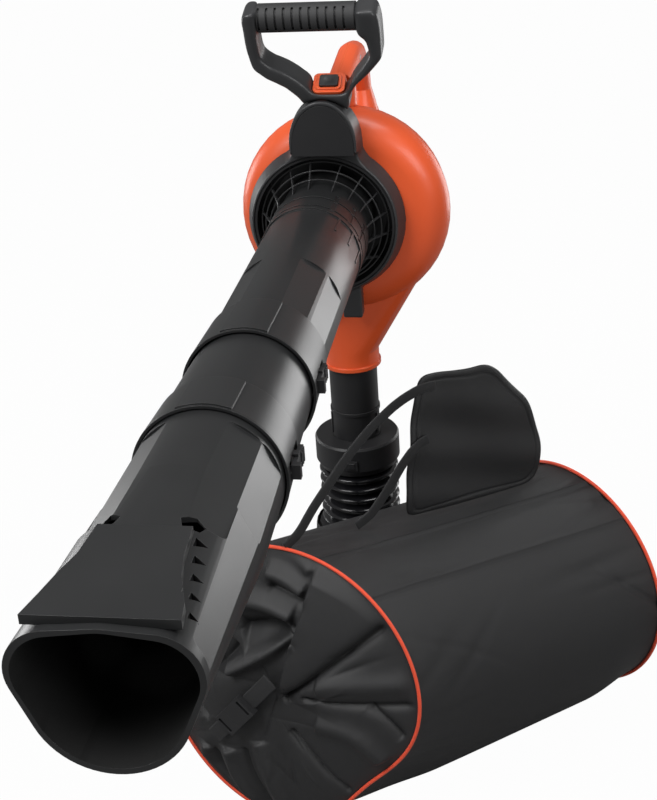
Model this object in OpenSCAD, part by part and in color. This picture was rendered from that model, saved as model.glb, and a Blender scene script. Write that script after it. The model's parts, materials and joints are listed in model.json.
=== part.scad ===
// Leaf blower and vacuum with a collecting bag, set up for vacuuming.
// Millimetres. The suction tube runs along -Y, the outlet blows down along -Z.

/* [Fan housing] */
// Radius of the scroll on its narrow side
scroll_r = 111; // [108:1:120]
// How much the scroll grows towards its wide side
scroll_growth = 19; // [10:1:20]
// Sideways shift of the wide side of the scroll
scroll_shift = 18; // [12:1:20]
// Depth of the fan housing from front to rear
housing_depth = 100; // [96:1:110]
// Wall of the moulded housings
wall = 3; // [2.5:0.1:3.5]
// Radius of the round edges of the housing
housing_round = 34; // [28:1:38]
// Rounding of the housing's rear edge
housing_tail = 60; // [54:1:62]

/* [Intake] */
// Radius of the intake bowl inside
intake_r = 83; // [78:1:84]
// Depth of the intake bowl
intake_depth = 34; // [30:1:38]
// How far the bracket's ring flares beyond the bowl
bracket_rim = 15; // [12:1:16]
// Half width of the bracket's neck
neck_half_w = 43; // [40:1:46]
// Height of the neck's round top above the intake centre
neck_top = 156; // [152:1:160]
// Sideways place of the neck
neck_x = 6; // [4:1:8]

/* [Front handle] */
// Radius of the grip sleeve
grip_r = 16.5; // [14:0.5:18]
// Length of the grip sleeve
grip_len = 112; // [100:1:118]
// Height of the grip above the intake centre
grip_z = 258; // [246:1:262]
// Distance of the grip in front of the intake plane
grip_y = 30; // [26:1:34]
// Number of grooves in the grip
groove_n = 11; // [7:1:12]
// Width of a grip groove
groove_w = 2.8; // [2:0.2:4]
// Depth of a grip groove
groove_d = 2.2; // [1.5:0.1:2.5]
// Depth of the handle from front to rear
handle_depth = 36; // [34:1:40]
// Lean of the handle
handle_lean = 18; // [14:1:20]

/* [Suction tube] */
// Outside radius at the fan end
tube_r = 57; // [54:1:59]
// Outside radius at the lower coupling
tube_low_r = 67; // [65:1:69]
// Wall of the tubes
tube_wall = 2.6; // [2:0.1:3]
// Depth of the long flats in the tubes
flat_d = 2.2; // [1.6:0.1:2.4]
// Length of the tube that stands inside the bowl
tube_root = 24; // [20:1:28]
// Distance from the intake to the front rim of the upper coupling
coupling_a = 476; // [470:1:482]
// Length of the upper coupling that stands past the upper tube's end
upper_cover = 52; // [46:1:60]
// Distance from the intake to the rear rim of the lower coupling
coupling_b = 584; // [576:1:588]
// Distance from the intake to the front rim of the lower coupling
coupling_c = 648; // [642:1:654]
// Distance from the intake to the mouth
mouth_y = 974; // [950:1:1000]
// Height of a coupling above its tube
coupling_h = 3.6; // [3:0.2:5]
// Gap between sliding tube sections
slip = 0.3; // [0.2:0.05:0.5]

/* [Nozzle] */
// Width of the mouth
mouth_w = 146; // [136:1:152]
// Height of the mouth
mouth_h = 120; // [112:1:126]
// Width of the scraper plate at its front edge
scraper_w = 116; // [106:1:122]
// Width of the scraper plate at its rear edge
scraper_rear_w = 74; // [68:1:80]
// Length of the scraper plate
scraper_len = 132; // [120:1:140]
// Thickness of the scraper plate
scraper_t = 7; // [5:0.5:9]

/* [Outlet] */
// Sideways place of the outlet
outlet_x = 12; // [8:1:16]
// Depth of the outlet's flange below the intake centre
outlet_z = 216; // [210:1:222]
// Outside radius of the outlet tube
outlet_r = 31.5; // [29:0.5:33]
// Length of the outlet tube below the flange
outlet_len = 122; // [116:1:128]
// Outside radius of the outlet collar
collar_r = 56; // [52:1:58]
// Height of the outlet collar
collar_h = 42; // [38:1:46]
// Outside radius of the hose
hose_r = 53; // [50:1:54]
// Length of the hose that shows
hose_len = 90; // [84:1:98]
// Distance between the folds of the hose
hose_pitch = 15; // [12:1:18]

/* [Motor] */
// Outside radius of the motor housing
motor_r = 66; // [60:1:70]
// Length of the motor housing
motor_len = 118; // [112:1:126]
// Radius of the stator
stator_r = 45; // [42:1:48]
// Radius of the shaft
shaft_r = 5; // [4:0.5:6]
// Running clearance of shafts and pins
run = 0.05; // [0.02:0.01:0.1]

/* [Fan] */
// Radius of the impeller
fan_r = 88; // [80:1:90]
// Number of blades
blade_n = 9; // [6:1:12]
// Height of a blade
blade_h = 34; // [28:1:38]
// Thickness of a blade
blade_t = 3; // [2:0.5:4]

/* [Bag] */
// Depth of the ground below the intake centre
ground_z = 703; // [690:1:720]
// Radius of the bag at its closure end
bag_r = 184; // [176:1:190]
// Radius of the bag at its far end
bag_far_r = 164; // [156:1:172]
// Radius of the piping cord
piping_r = 3; // [2:0.5:4]

/* [Hidden] */

$fn = 96;
hull_fn = 32;
orange = "#f0562b";
black = "#1b1b1d";
grey = "#4a4b4e";
fabric = "#232426";
clear = 0.3;

housing_y0 = 14;
housing_mid = housing_y0 + housing_depth / 2;
housing_y1 = housing_y0 + housing_depth;
coupling_r1 = tube_r + 4 + coupling_h;
coupling_r2 = tube_low_r + coupling_h;
middle_r1 = tube_r + 3;
middle_r2 = coupling_r2 - 3 - tube_wall - slip;
middle_end = coupling_c - 40 - slip;
upper_end = coupling_a - upper_cover;
collar_top = outlet_z + outlet_len - 20;
hose_top = collar_top + collar_h;
hose_bottom = hose_top + hose_len;
motor_y1 = housing_y1 + motor_len;
bag_a = [-32, -211, bag_r - ground_z];
bag_b = [288, 68, bag_far_r - ground_z];
bag_turn = atan2(bag_b[1] - bag_a[1], bag_b[0] - bag_a[0]);
bag_len = norm([bag_b[0] - bag_a[0], bag_b[1] - bag_a[1]]);
cuff_r = hose_r + 7;
cuff_h = 12;
latch_len = 40;
latch_back = 54;
latch_pin_r = 1.2;
latch_in = 1;
latch_t = 4.5;
latch_w = 14;
latch_pin_x = latch_t / 2 - latch_in;
window_w = 20;
latch_x1 = coupling_r1;
latch_x2 = coupling_r2;

switch_travel = 3;

// Moves a sub-part from the intake's centre to the row's origin, the grip's centre
module place() {
    translate([0, grip_y, -grip_z]) children();
}

// Turns a shape that stands along Z so that it runs from the intake along -Y
module along_tube(y = 0) {
    translate([0, -y, 0]) rotate([90, 0, 0]) children();
}

// ---- fan housing ----

module round_disc(r, depth, front_r, rear_r) {
    rotate([-90, 0, 0])
        rotate_extrude($fn = 48)
            polygon(concat([[0, 0]],
                [for (a = [-90:22.5:0]) [r - front_r + front_r * cos(a), front_r + front_r * sin(a)]],
                [for (a = [0:22.5:90]) [r - rear_r + rear_r * cos(a), depth - rear_r + rear_r * sin(a)]],
                [[0, depth]]));
}

module scroll(inset) {
    depth = housing_depth - 2 * inset;
    hull() {
        translate([0, housing_y0 + inset, 0])
            round_disc(scroll_r - inset, depth, housing_round - inset, housing_tail - 15 - inset);
        translate([scroll_shift, housing_y0 + inset, 0])
            round_disc(scroll_r + scroll_growth - inset, depth, housing_round - inset, housing_tail - inset);
    }
}

module outlet_duct(inset) {
    hull() {
        translate([scroll_shift + 22, housing_y0 + 12 + inset, -62])
            round_disc(72 - inset, housing_depth - 24 - 2 * inset, 20 - inset, 20 - inset);
        translate([outlet_x, housing_mid, -outlet_z + 22])
            cylinder(h = 2, r = outlet_r + 4 - inset, $fn = hull_fn);
    }
    translate([outlet_x, housing_mid, -outlet_z])
        cylinder(h = 24, r = outlet_r + 4 - inset);
}

module volute_form() {
    difference() {
        union() {
            scroll(0);
            outlet_duct(0);
            translate([outlet_x, housing_mid, -outlet_z]) cylinder(h = 5, r = outlet_r + 6);
            along_tube(-housing_y1) cylinder(h = 16, r = motor_r + 8);
        }
        scroll(wall);
        outlet_duct(wall);
        translate([outlet_x, housing_mid, -outlet_z - 1]) cylinder(h = 26, r = outlet_r + clear);
    }
}

module half_space(front) {
    y = front ? housing_mid - 400 : housing_mid;
    translate([-400, y, -400]) cube([800, 400, 800]);
}

module volute_front() {
    color(orange) difference() {
        intersection() {
            volute_form();
            half_space(true);
        }
        along_tube(-housing_y0 - 20) cylinder(h = 40, r = intake_r + wall + clear);
    }
}

module volute_rear() {
    color(orange) difference() {
        intersection() {
            volute_form();
            half_space(false);
        }
        along_tube(-housing_y1 - 10) cylinder(h = 30, r = stator_r + 4);
    }
}

// ---- intake ----

neck_fillets = [14, 30];
neck_arch = 54;

// A disc with a neck that flares into it and ends in a flat arch
module keyhole_neck(r, half_w, top) {
    arch_z = top - neck_arch;
    function side(s) = let (f = neck_fillets[(s + 1) / 2], x = s * neck_x + half_w + f,
        z = sqrt(pow(r + f, 2) - x * x))
        [for (k = [0:6]) let (a = 180 + atan(z / x) * k / 6) [s * (x + f * cos(a)), z + f * sin(a)]];
    right = side(1);
    left = side(-1);
    polygon(concat(
        [[0, r / 2]],
        [for (k = [6:-1:0]) right[k]],
        [for (a = [0:10:180]) [neck_x + half_w * cos(a), arch_z + neck_arch * sin(a)]],
        left));
}

module keyhole(r, half_w, top) {
    union() {
        circle(r);
        keyhole_neck(r, half_w, top);
    }
}

module neck_prism(grow) {
    half_w = neck_half_w + 0.6 + grow;
    foot = intake_r + 4 - neck_top;
    translate([neck_x, 0, neck_top]) along_tube(-housing_y0)
        linear_extrude(34 + grow, scale = 0.92, slices = 1)
        polygon(concat([[-half_w, foot], [half_w, foot]],
            [for (a = [0:10:180]) [half_w * cos(a), (neck_arch + grow) * sin(a) - neck_arch]]));
}

// The tab below the ring that meets the outlet's funnel
module bracket_tab(grow) {
    translate([16 - grow, -6 - grow, -intake_r - 41 - grow])
        cube([24 + 2 * grow, 20 + grow, 44 + grow]);
}

module intake_bracket() {
    color(grey) difference() {
        union() {
            along_tube(-housing_y0)
                cylinder(h = 24, r1 = intake_r + bracket_rim, r2 = intake_r + bracket_rim - 9);
            along_tube(-housing_y0) linear_extrude(24, scale = 0.92, slices = 1)
                keyhole_neck(intake_r + bracket_rim, neck_half_w, neck_top);
            neck_prism(0);
            bracket_tab(0);
        }
        along_tube(-housing_y0 - 1) cylinder(h = 60, r = intake_r + wall + clear);
        along_tube(17) linear_extrude(10) panel_outline(clear);
    }
}

module panel_outline(grow) {
    half_w = neck_half_w - 6 + grow;
    low = intake_r + 7 - grow;
    arch_z = neck_top - neck_arch - 2;
    translate([neck_x, 0])
        polygon(concat([[-half_w, low], [half_w, low]],
            [for (a = [0:10:180]) [half_w * cos(a), arch_z + (neck_arch - 3 + grow) * sin(a)]]));
}

module bracket_panel() {
    color(black) along_tube(17) linear_extrude(2.4) panel_outline(0);
}

module intake_bowl() {
    color(black) along_tube(-housing_y0 - 22)
        rotate_extrude()
            polygon([
                [intake_r - 34, 0], [intake_r - 12, 2], [intake_r - 2, 10], [intake_r, 20],
                [intake_r, intake_depth + 10], [intake_r + wall, intake_depth + 10],
                [intake_r + wall, 18], [intake_r + wall - 3, 8],
                [intake_r - 10, -wall], [intake_r - 34, -wall]
            ]);
}

// ---- suction tube ----

module sleeve(y0, y1, r0, r1, t) {
    along_tube(y0) difference() {
        cylinder(h = y1 - y0, r1 = r0, r2 = r1);
        translate([0, 0, -0.01]) cylinder(h = y1 - y0 + 0.02, r1 = r0 - t, r2 = r1 - t);
    }
}

// Turns of the long flats round a tube, from the top
flat_turns = [34, 68, -38, -72, 130, -130];

// Flats with round corners, cut into the skin of a tube
module side_flats(y0, y1, r0, r1, angles) {
    lean = atan((r1 - r0) / (y1 - y0));
    for (a = angles)
        rotate([0, a, 0]) translate([0, -y0, r0 - flat_d]) rotate([-lean, 0, 0])
            translate([0, -(y1 - y0) / 2, 0]) rounded_plate(38, y1 - y0, 20, 8);
}

module upper_tube() {
    color(black) difference() {
        union() {
            sleeve(-tube_root, upper_end, tube_r, tube_r + 3, tube_wall + flat_d);
            for (y = [[50, 74], [78, 102], [106, 114]])
                sleeve(y[0], y[1], tube_r + 2.6, tube_r + 2.6, tube_wall + flat_d);
            for (a = [-78, -52, 40, 62, 84]) rotate([0, a, 0])
                translate([-1.5, -150, tube_r - 1]) cube([3, 41, 3.1]);
        }
        for (a = [-66, 28, 51, 73, 120, 200, 240]) rotate([0, a, 0])
            translate([-2.5, -110, tube_r + 1.4]) cube([5, 52, 10]);
        side_flats(262, upper_end + 90, tube_r + 2, tube_r + 4, flat_turns);
    }
}

module tube_guard() {
    ring_span = intake_r - tube_r - 6;
    color(grey) {
        for (f = [0, 0.35, 0.7])
            along_tube(26 - 36 * f) rotate_extrude()
                translate([tube_r + 6 + f * ring_span, 0]) square([1.6, 1.6]);
        for (a = [-10, 18, 40, 60, 80, 100, 125, 155, 190, 220, 250, 280, 305, 330])
            rotate([0, a, 0]) translate([0.7, 0, 0]) rotate([0, -90, 0])
                linear_extrude(1.4) polygon([
                    [tube_r + 0.8, -48], [tube_r + 6, -30], [intake_r - clear, 8],
                    [intake_r - clear, 12], [tube_r + 5, -22], [tube_r + 0.8, -38]]);
    }
}

module pad(y0, y1, r0, r1, w) {
    intersection() {
        sleeve(y0, y1, r0 + 1.8, r1 + 1.8, 3.4);
        translate([-w / 2, -y1 - 1, 0]) cube([w, y1 - y0 + 2, 2 * r1]);
    }
}

module upper_coupling() {
    color(black) difference() {
        union() {
            sleeve(upper_end - 30, coupling_a, coupling_r1 - 1.5, coupling_r1 + 1.5, tube_wall);
            sleeve(coupling_a - 4, coupling_a, coupling_r1 + 1.5, coupling_r1 + 1.5, tube_wall + 0.6);
            pad(upper_end - 28, coupling_a - 2, coupling_r1 - 1.5, coupling_r1 + 1.5, 46);
        }
        along_tube(upper_end - 31)
            cylinder(h = coupling_a - upper_end + 32, r1 = coupling_r1 - 1.5 - tube_wall,
                r2 = coupling_r1 + 1.5 - tube_wall);
        latch_window(coupling_a - latch_back, latch_x1);
    }
}

module latch_window(y, x) {
    translate([x - 14, -y - latch_len - 3, -window_w / 2]) cube([30, latch_len + 6, window_w]);
}

module middle_tube() {
    color(black) {
        sleeve(upper_end + 6, coupling_b - 8, middle_r1, middle_r2, tube_wall);
        sleeve(coupling_b - 8, middle_end, middle_r2, middle_r2, tube_wall);
    }
}

module lower_coupling() {
    color(black) difference() {
        union() {
            sleeve(coupling_b, coupling_c, coupling_r2 - 3, coupling_r2, tube_wall);
            sleeve(coupling_c - 4, coupling_c, coupling_r2, coupling_r2, tube_wall + 1);
            pad(coupling_b + 2, coupling_c - 2, coupling_r2 - 3, coupling_r2, 50);
        }
        along_tube(coupling_b - 1)
            cylinder(h = coupling_c - coupling_b + 2, r1 = coupling_r2 - 3 - tube_wall,
                r2 = coupling_r2 - tube_wall);
        latch_window(coupling_c - latch_back, latch_x2);
    }
}

module mouth_section(w, h) {
    hull() {
        translate([0, -h / 2 + w * 0.42]) circle(w * 0.42, $fn = 64);
        for (s = [-1, 1])
            translate([s * (w / 2 - h * 0.3), h / 2 - h * 0.3]) circle(h * 0.3, $fn = 48);
    }
}

module nozzle_form(inset) {
    hull() {
        along_tube(coupling_c - 18)
            cylinder(h = 2, r = tube_low_r - 0.8 - inset, $fn = 64);
        along_tube(coupling_c + 100)
            cylinder(h = 2, r = tube_low_r + 2 - inset, $fn = 64);
        along_tube(mouth_y - 2)
            linear_extrude(2) mouth_section(mouth_w - 2 * inset, mouth_h - 2 * inset);
    }
}

module lower_tube() {
    inset = tube_wall + flat_d;
    color(black) difference() {
        nozzle_form(0);
        nozzle_form(inset);
        along_tube(mouth_y - 3) linear_extrude(6)
            mouth_section(mouth_w - 2 * inset, mouth_h - 2 * inset);
        along_tube(coupling_c - 20) cylinder(h = 6, r = tube_low_r - 0.8 - inset);
        side_flats(coupling_c + 10, mouth_y - 144, tube_low_r, tube_low_r + 3.6, [36, -40]);
        side_flats(coupling_c + 10, coupling_c + 128, tube_low_r, tube_low_r + 2.4, [66, -68]);
        side_flats(coupling_c + 86, mouth_y - 10, tube_low_r + 1.6, tube_low_r + 11.6, [66, -68]);
        for (s = [-1, 1])
            translate([s * 34, -mouth_y + scraper_len + 13, 50]) rotate([0, 0, 90])
                cylinder(h = 40, r = 11, $fn = 5);
        for (i = [0:4])
            translate([scraper_rear_w / 2 + 6 + i * 3.6, -mouth_y + scraper_len - 10 - i * 22, 40])
                cylinder(h = 50, r = 7 - i * 0.6, $fn = 3);
    }
}

module scraper_plate() {
    y0 = -mouth_y;
    y1 = y0 + scraper_len;
    w0 = scraper_w / 2;
    w1 = scraper_rear_w / 2;
    lift = mouth_h / 2 + clear;
    color(black) difference() {
        translate([0, 0, lift - 1]) linear_extrude(scraper_t + 1) polygon([
            [-w0, y0 + 8], [w0, y0 + 8], [w0 - 3, y0 + 30], [w1 + 8, y0 + 62], [w1 + 3, y0 + 90],
            [w1, y1], [-w1, y1], [-w1 - 3, y0 + 90], [-w1 - 10, y0 + 62], [-w0 + 6, y0 + 36]]);
        nozzle_form(-clear);
        for (i = [0:3])
            translate([w1 + 5 + i * 3.4, y1 - 18 - i * 22, lift - 8])
                cylinder(h = 30, r = 6, $fn = 3);
    }
}

// A latch lever that rocks on its pin, with a hooked end and a ribbed finger end
module latch(y, x) {
    translate([x, -y, -latch_w / 2]) difference() {
        union() {
            translate([-latch_in, -latch_len, 0]) cube([latch_t, latch_len, latch_w]);
            translate([latch_t - latch_in, -latch_len, 0]) cube([4, 7, latch_w]);
            for (k = [0:2])
                translate([latch_t - latch_in, -6 - k * 5, 0]) cube([1.4, 2.4, latch_w]);
        }
        translate([latch_pin_x, -latch_len / 2, -1]) cylinder(h = latch_w + 2, r = latch_pin_r + run);
    }
}

module upper_latch() {
    color(grey) latch(coupling_a - latch_back, latch_x1);
}

module lower_latch() {
    color(grey) latch(coupling_c - latch_back, latch_x2);
}

module latch_pin(y, x) {
    cheek = (window_w - latch_w) / 2 - 2 * clear;
    translate([x + latch_pin_x, -y - latch_len / 2, 0]) {
        cylinder(h = window_w - 2 * clear, r = latch_pin_r, center = true);
        for (s = [-1, 1])
            translate([-5, -4, s * (latch_w + cheek + 2 * clear) / 2 - cheek / 2]) cube([7, 8, cheek]);
    }
}

module latch_mounts() {
    color(grey) {
        latch_pin(coupling_a - latch_back, latch_x1);
        latch_pin(coupling_c - latch_back, latch_x2);
    }
}

// ---- front handle ----

// Rounds the corners of a flat outline, both outer and inner ones
module rounded(r) {
    offset(r = r) offset(r = -2 * r) offset(r = r) children();
}

// The handle stands in a plane that leans: local y runs up from the grip's axis, local z forward
module handle_place() {
    translate([0, -grip_y, grip_z]) rotate([90 + handle_lean, 0, 0]) children();
}

module handle_outline() {
    inner_x = grip_len / 2 + clear;
    top = grip_r - 2;
    foot = -120;
    difference() {
        rounded(9) polygon([
            [82, top], [85, -8], [84, -48], [68, -67], [50, -84], [41, -98], [40, foot], [-10, foot],
            [-20, -99], [-35, -84], [-57, -71], [-70, -58], [-74, -30], [-inner_x - 18, top]]);
        rounded(5) polygon([
            [inner_x, 60], [inner_x, -17], [66, -24], [69, -46], [55, -66], [45, -78], [37, -94], [0, -94],
            [-8, -84], [-20, -72], [-34, -62], [-47, -56], [-inner_x - 1, -46], [-inner_x - 2, -30],
            [-inner_x, 60]]);
    }
}

module handle_frame() {
    color(grey) difference() {
        union() {
            handle_place() translate([0, 0, -handle_depth / 2]) linear_extrude(handle_depth) handle_outline();
            translate([-grip_len / 2 - 4, -grip_y, grip_z]) rotate([0, 90, 0])
                cylinder(h = grip_len + 8, r = grip_r - 4);
        }
        neck_prism(clear);
        along_tube(-housing_y0 - 10) linear_extrude(44 + clear)
            keyhole(intake_r + bracket_rim + clear, neck_half_w + clear, neck_top + clear);
        platform_place() translate([-20, -17, -8 - clear]) cube([40, 40, 40]);
    }
}

module grip_sleeve() {
    pitch = (grip_len - 4) / groove_n;
    color(black) translate([-grip_len / 2, -grip_y, grip_z]) rotate([0, 90, 0]) difference() {
        cylinder(h = grip_len, r = grip_r);
        translate([0, 0, -1]) cylinder(h = grip_len + 2, r = grip_r - 4);
        for (i = [0:groove_n - 1])
            translate([0, 0, (grip_len - groove_w) / 2 + (i - groove_n / 2) * pitch]) intersection() {
                difference() {
                    cylinder(h = groove_w, r = grip_r + 1);
                    cylinder(h = groove_w, r = grip_r - groove_d);
                }
                translate([-grip_r * 0.8, -grip_r - 2, 0]) cube([grip_r * 1.5, grip_r + 2, groove_w]);
            }
    }
}

// ---- switch and rear handle ----

platform_y = 4;
platform_z = neck_top + 15;
switch_x = neck_x + 9;
switch_w = 22;
switch_l = 17;

module platform_place() {
    translate([switch_x, platform_y, platform_z]) rotate([32, 0, 0]) children();
}

module rounded_plate(w, l, h, r) {
    linear_extrude(h) {
        square([w - 2 * r, l], center = true);
        square([w, l - 2 * r], center = true);
        for (i = [-1, 1])
            for (j = [-1, 1])
                translate([i * (w / 2 - r), j * (l / 2 - r)]) circle(r, $fn = 32);
    }
}

module switch_platform() {
    color(orange) platform_place() difference() {
        union() {
            translate([0, 0, -8]) rounded_plate(38, 30, 10, 6);
            translate([0, 0, 2]) rounded_plate(switch_w + 7, switch_l + 6, 2, 4);
        }
        translate([0, 0, -5]) rounded_plate(switch_w + 2 * clear, switch_l + 2 * clear, 20, 3);
    }
}

module thumb_switch() {
    color(black) platform_place() difference() {
        translate([0, 0, -5 + switch_travel + clear]) rounded_plate(switch_w, switch_l, 8.5, 3);
        translate([0, 0, 8.5]) scale([1, 1, 0.35]) sphere(7, $fn = 48);
    }
}

// The rear handle rises from the switch, runs back and bends down to the motor
rear_r = 15;
rear_x = 24;
rear_rise = 7;
rear_bend = 62;
rear_start = [20, 166];
rear_run = 92;
rear_top = rear_start + rear_run * [cos(rear_rise), sin(rear_rise)];
rear_center = rear_top + rear_bend * [sin(rear_rise), -cos(rear_rise)];
rear_foot_y = housing_mid;

rear_path = concat([rear_start],
    [for (a = [90 + rear_rise:-(90 + rear_rise) / 3:0]) rear_center + rear_bend * [cos(a), sin(a)]],
    [[rear_center[0] + rear_bend, 70]]);

module rear_loop() {
    for (i = [0:len(rear_path) - 2])
        hull()
            for (p = [rear_path[i], rear_path[i + 1]])
                translate([rear_x, p[0], p[1]]) sphere(rear_r, $fn = 20);
    translate([rear_x, rear_foot_y, 110]) cylinder(h = 66, r = rear_r - 2);
    hull() {
        translate([rear_x, rear_center[0] + rear_bend, rear_center[1]]) sphere(rear_r, $fn = 20);
        translate([rear_x, rear_center[0] + rear_bend - 14, 52]) cylinder(h = 4, r = 34, $fn = 24);
    }
}

screw_head_r = 3.4;
screw_r = 1.8;
screw_side = rear_x + rear_r - 2;
screw_at = [rear_start + 28 * [cos(rear_rise), sin(rear_rise)],
    rear_start + 84 * [cos(rear_rise), sin(rear_rise)],
    [rear_center[0] + rear_bend, rear_center[1] - 20]];

module at_screws() {
    for (p = screw_at)
        translate([screw_side, p[0], p[1]]) rotate([0, 90, 0]) children();
}

module rear_handle_half(side) {
    color(orange) difference() {
        rear_loop();
        translate([side > 0 ? rear_x - 100 : rear_x, -50, 0]) cube([100, 400, 400]);
        translate([scroll_shift, -10, 0]) rotate([-90, 0, 0])
            cylinder(h = housing_y1 + 20, r = scroll_r + scroll_growth + clear);
        along_tube(-motor_y1 - 40) cylinder(h = 200, r = motor_r + clear);
        platform_place() translate([-30, -34, -30]) cube([60, 49 + clear, 70]);
        if (side > 0)
            at_screws() {
                cylinder(h = 10, r = screw_head_r + clear);
                translate([0, 0, -20]) cylinder(h = 30, r = screw_r + clear);
            }
    }
}

module rear_handle_left() {
    rear_handle_half(-1);
}

module rear_handle_right() {
    rear_handle_half(1);
}

module handle_screws() {
    color("silver") at_screws() {
        cylinder(h = 1.6, r = screw_head_r);
        translate([0, 0, -9]) cylinder(h = 9, r = screw_r);
    }
}

// ---- motor ----

module motor_housing() {
    color(orange) along_tube(-motor_y1) difference() {
        union() {
            cylinder(h = motor_len - clear, r = motor_r);
            translate([0, 0, motor_len - 10 - clear]) cylinder(h = 10, r = motor_r + 6);
        }
        translate([0, 0, -1]) cylinder(h = motor_len + 2, r = motor_r - wall);
        for (a = [0:30:330])
            rotate([0, 0, a + 15]) for (k = [0:3])
                translate([motor_r - 10, -3, 20 + k * 16]) cube([20, 6, 9]);
    }
}

module motor_cover() {
    color(black) along_tube(-motor_y1 - 26) difference() {
        rotate_extrude() polygon([
            [0, 0], [motor_r - 22, 0], [motor_r - 8, 6], [motor_r, 18], [motor_r, 26 - clear],
            [motor_r - wall, 26 - clear], [motor_r - wall, 19], [motor_r - 10, 9],
            [motor_r - 23, wall], [0, wall]]);
        for (x = [-3:3])
            translate([x * 11 - 2.5, -32, -1]) cube([5, 64, 6]);
    }
}

module stator() {
    color("silver") along_tube(-motor_y1 + 22) difference() {
        cylinder(h = 62, r = stator_r);
        translate([0, 0, -1]) cylinder(h = 64, r = stator_r - 14);
        for (a = [0, 180]) rotate([0, 0, a])
            translate([stator_r - 4, -6, -1]) cube([10, 12, 64]);
    }
    color("silver") along_tube(-motor_y1 + 22) for (a = [45:90:315]) rotate([0, 0, a])
        translate([stator_r - 1, -4, 10]) cube([motor_r - wall - stator_r + 0.6, 8, 30]);
}

module rotor_core() {
    color("silver") along_tube(-motor_y1 + 24) difference() {
        cylinder(h = 56, r = stator_r - 15);
        translate([0, 0, -1]) cylinder(h = 60, r = shaft_r);
        for (a = [0:30:330]) rotate([0, 0, a])
            translate([stator_r - 20, -1.5, -1]) cube([10, 3, 60]);
    }
}

module motor_shaft() {
    color("silver") along_tube(-motor_y1 - 12)
        cylinder(h = motor_y1 + 12 - housing_y0 - 20, r = shaft_r);
}

module bearing_plate(y, r) {
    along_tube(y) {
        difference() {
            cylinder(h = 9, r = 13);
            translate([0, 0, -1]) cylinder(h = 11, r = shaft_r + run);
        }
        for (a = [0:60:300]) rotate([0, 0, a + 30])
            translate([12.5, -3, 2]) cube([r - 12.5 - clear, 6, 5]);
    }
}

module front_bearing() {
    color("silver") bearing_plate(-housing_y1 - 9, motor_r - wall);
}

module rear_bearing() {
    color("silver") bearing_plate(-motor_y1 + 3, motor_r - wall);
}

module commutator() {
    color("peru") along_tube(-motor_y1 + 12.6) difference() {
        cylinder(h = 11, r = 13);
        translate([0, 0, -1]) cylinder(h = 16, r = shaft_r);
        for (a = [0:30:330]) rotate([0, 0, a])
            translate([11, -0.5, -1]) cube([4, 1, 16]);
    }
}

module brushes() {
    color("#303030") for (s = [-1, 1])
        translate([s * (13 + clear) + (s < 0 ? -12 : 0), motor_y1 - 22, -4]) cube([12, 8, 8]);
    color("peru") for (s = [-1, 1])
        translate([s > 0 ? 25.3 : clear + wall - motor_r, motor_y1 - 21, -3])
            cube([motor_r - wall - 25.3 - clear, 6, 6]);
}

// ---- fan ----

fan_y = housing_y1 - wall - 8;

blade_root = 11;
function blade_point(t) = (blade_root + (fan_r - 6 - blade_root) * t) * [cos(38 * t * t), -sin(38 * t * t)];

module blade() {
    linear_extrude(blade_h) polygon(concat(
        [for (t = [0:0.125:1]) blade_point(t)],
        [for (t = [1:-0.125:0]) blade_point(t) + blade_t * [sin(38 * t), cos(38 * t)]]));
}

module impeller() {
    color(black) along_tube(-fan_y) difference() {
        union() {
            cylinder(h = 3, r = fan_r);
            cylinder(h = 26, r = 15);
            for (i = [0:blade_n - 1]) rotate([0, 0, i * 360 / blade_n])
                translate([0, 0, 2]) blade();
        }
        translate([0, 0, -1]) cylinder(h = 80, r = shaft_r);
    }
}

module fan_nut() {
    color("silver") along_tube(-fan_y + 26) difference() {
        cylinder(h = 7, r = 9, $fn = 6);
        translate([0, 0, -1]) cylinder(h = 10, r = shaft_r);
    }
}

// ---- outlet and hose ----

module at_outlet(z) {
    translate([outlet_x, housing_mid, -z]) children();
}

module outlet_tube() {
    color(black) at_outlet(outlet_z + outlet_len) difference() {
        union() {
            cylinder(h = outlet_len + 14, r = outlet_r);
            translate([0, 0, 56]) cylinder(h = 4, r = outlet_r + 1.4);
            for (a = [200, 340]) rotate([0, 0, a])
                translate([outlet_r - 1, -2, 24]) cube([2.6, 4, 30]);
        }
        translate([0, 0, -1]) cylinder(h = outlet_len + 20, r = outlet_r - tube_wall);
    }
}

module outlet_collar() {
    color(black) at_outlet(collar_top + collar_h) difference() {
        rotate_extrude() polygon([
            [outlet_r + clear, collar_h], [collar_r - 2, collar_h], [collar_r, collar_h - 3],
            [collar_r, 9], [collar_r - 5, 0], [hose_r - 9, 0], [hose_r - 9, 6],
            [collar_r - 5, 10], [collar_r - 5, collar_h - 4], [outlet_r + clear, collar_h - 4]]);
        rotate([0, 0, -90]) translate([collar_r - 8, -8, 12]) cube([16, 16, 14]);
    }
}

module collar_button() {
    color(grey) at_outlet(collar_top + collar_h) rotate([0, 0, -90]) {
        translate([collar_r - 6, -8 + clear, 12 + clear])
            cube([8, 16 - 2 * clear, 14 - 2 * clear]);
        translate([collar_r + 2, -4, 15]) cube([1.2, 8, 8]);
    }
}

module bellows_hose() {
    folds = floor((hose_len + 2) / hose_pitch);
    pitch = (hose_len - 1) / folds;
    color(black) at_outlet(hose_bottom - clear) rotate_extrude() polygon(concat(
        [for (i = [0:folds - 1]) for (a = [0:30:330])
            [hose_r - 5 - 5 * cos(a), (i + a / 360) * pitch]],
        [[hose_r - 10, folds * pitch], [hose_r - 10, hose_len + 4], [hose_r - 13, hose_len + 4],
            [hose_r - 13, 0]]));
}

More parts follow.
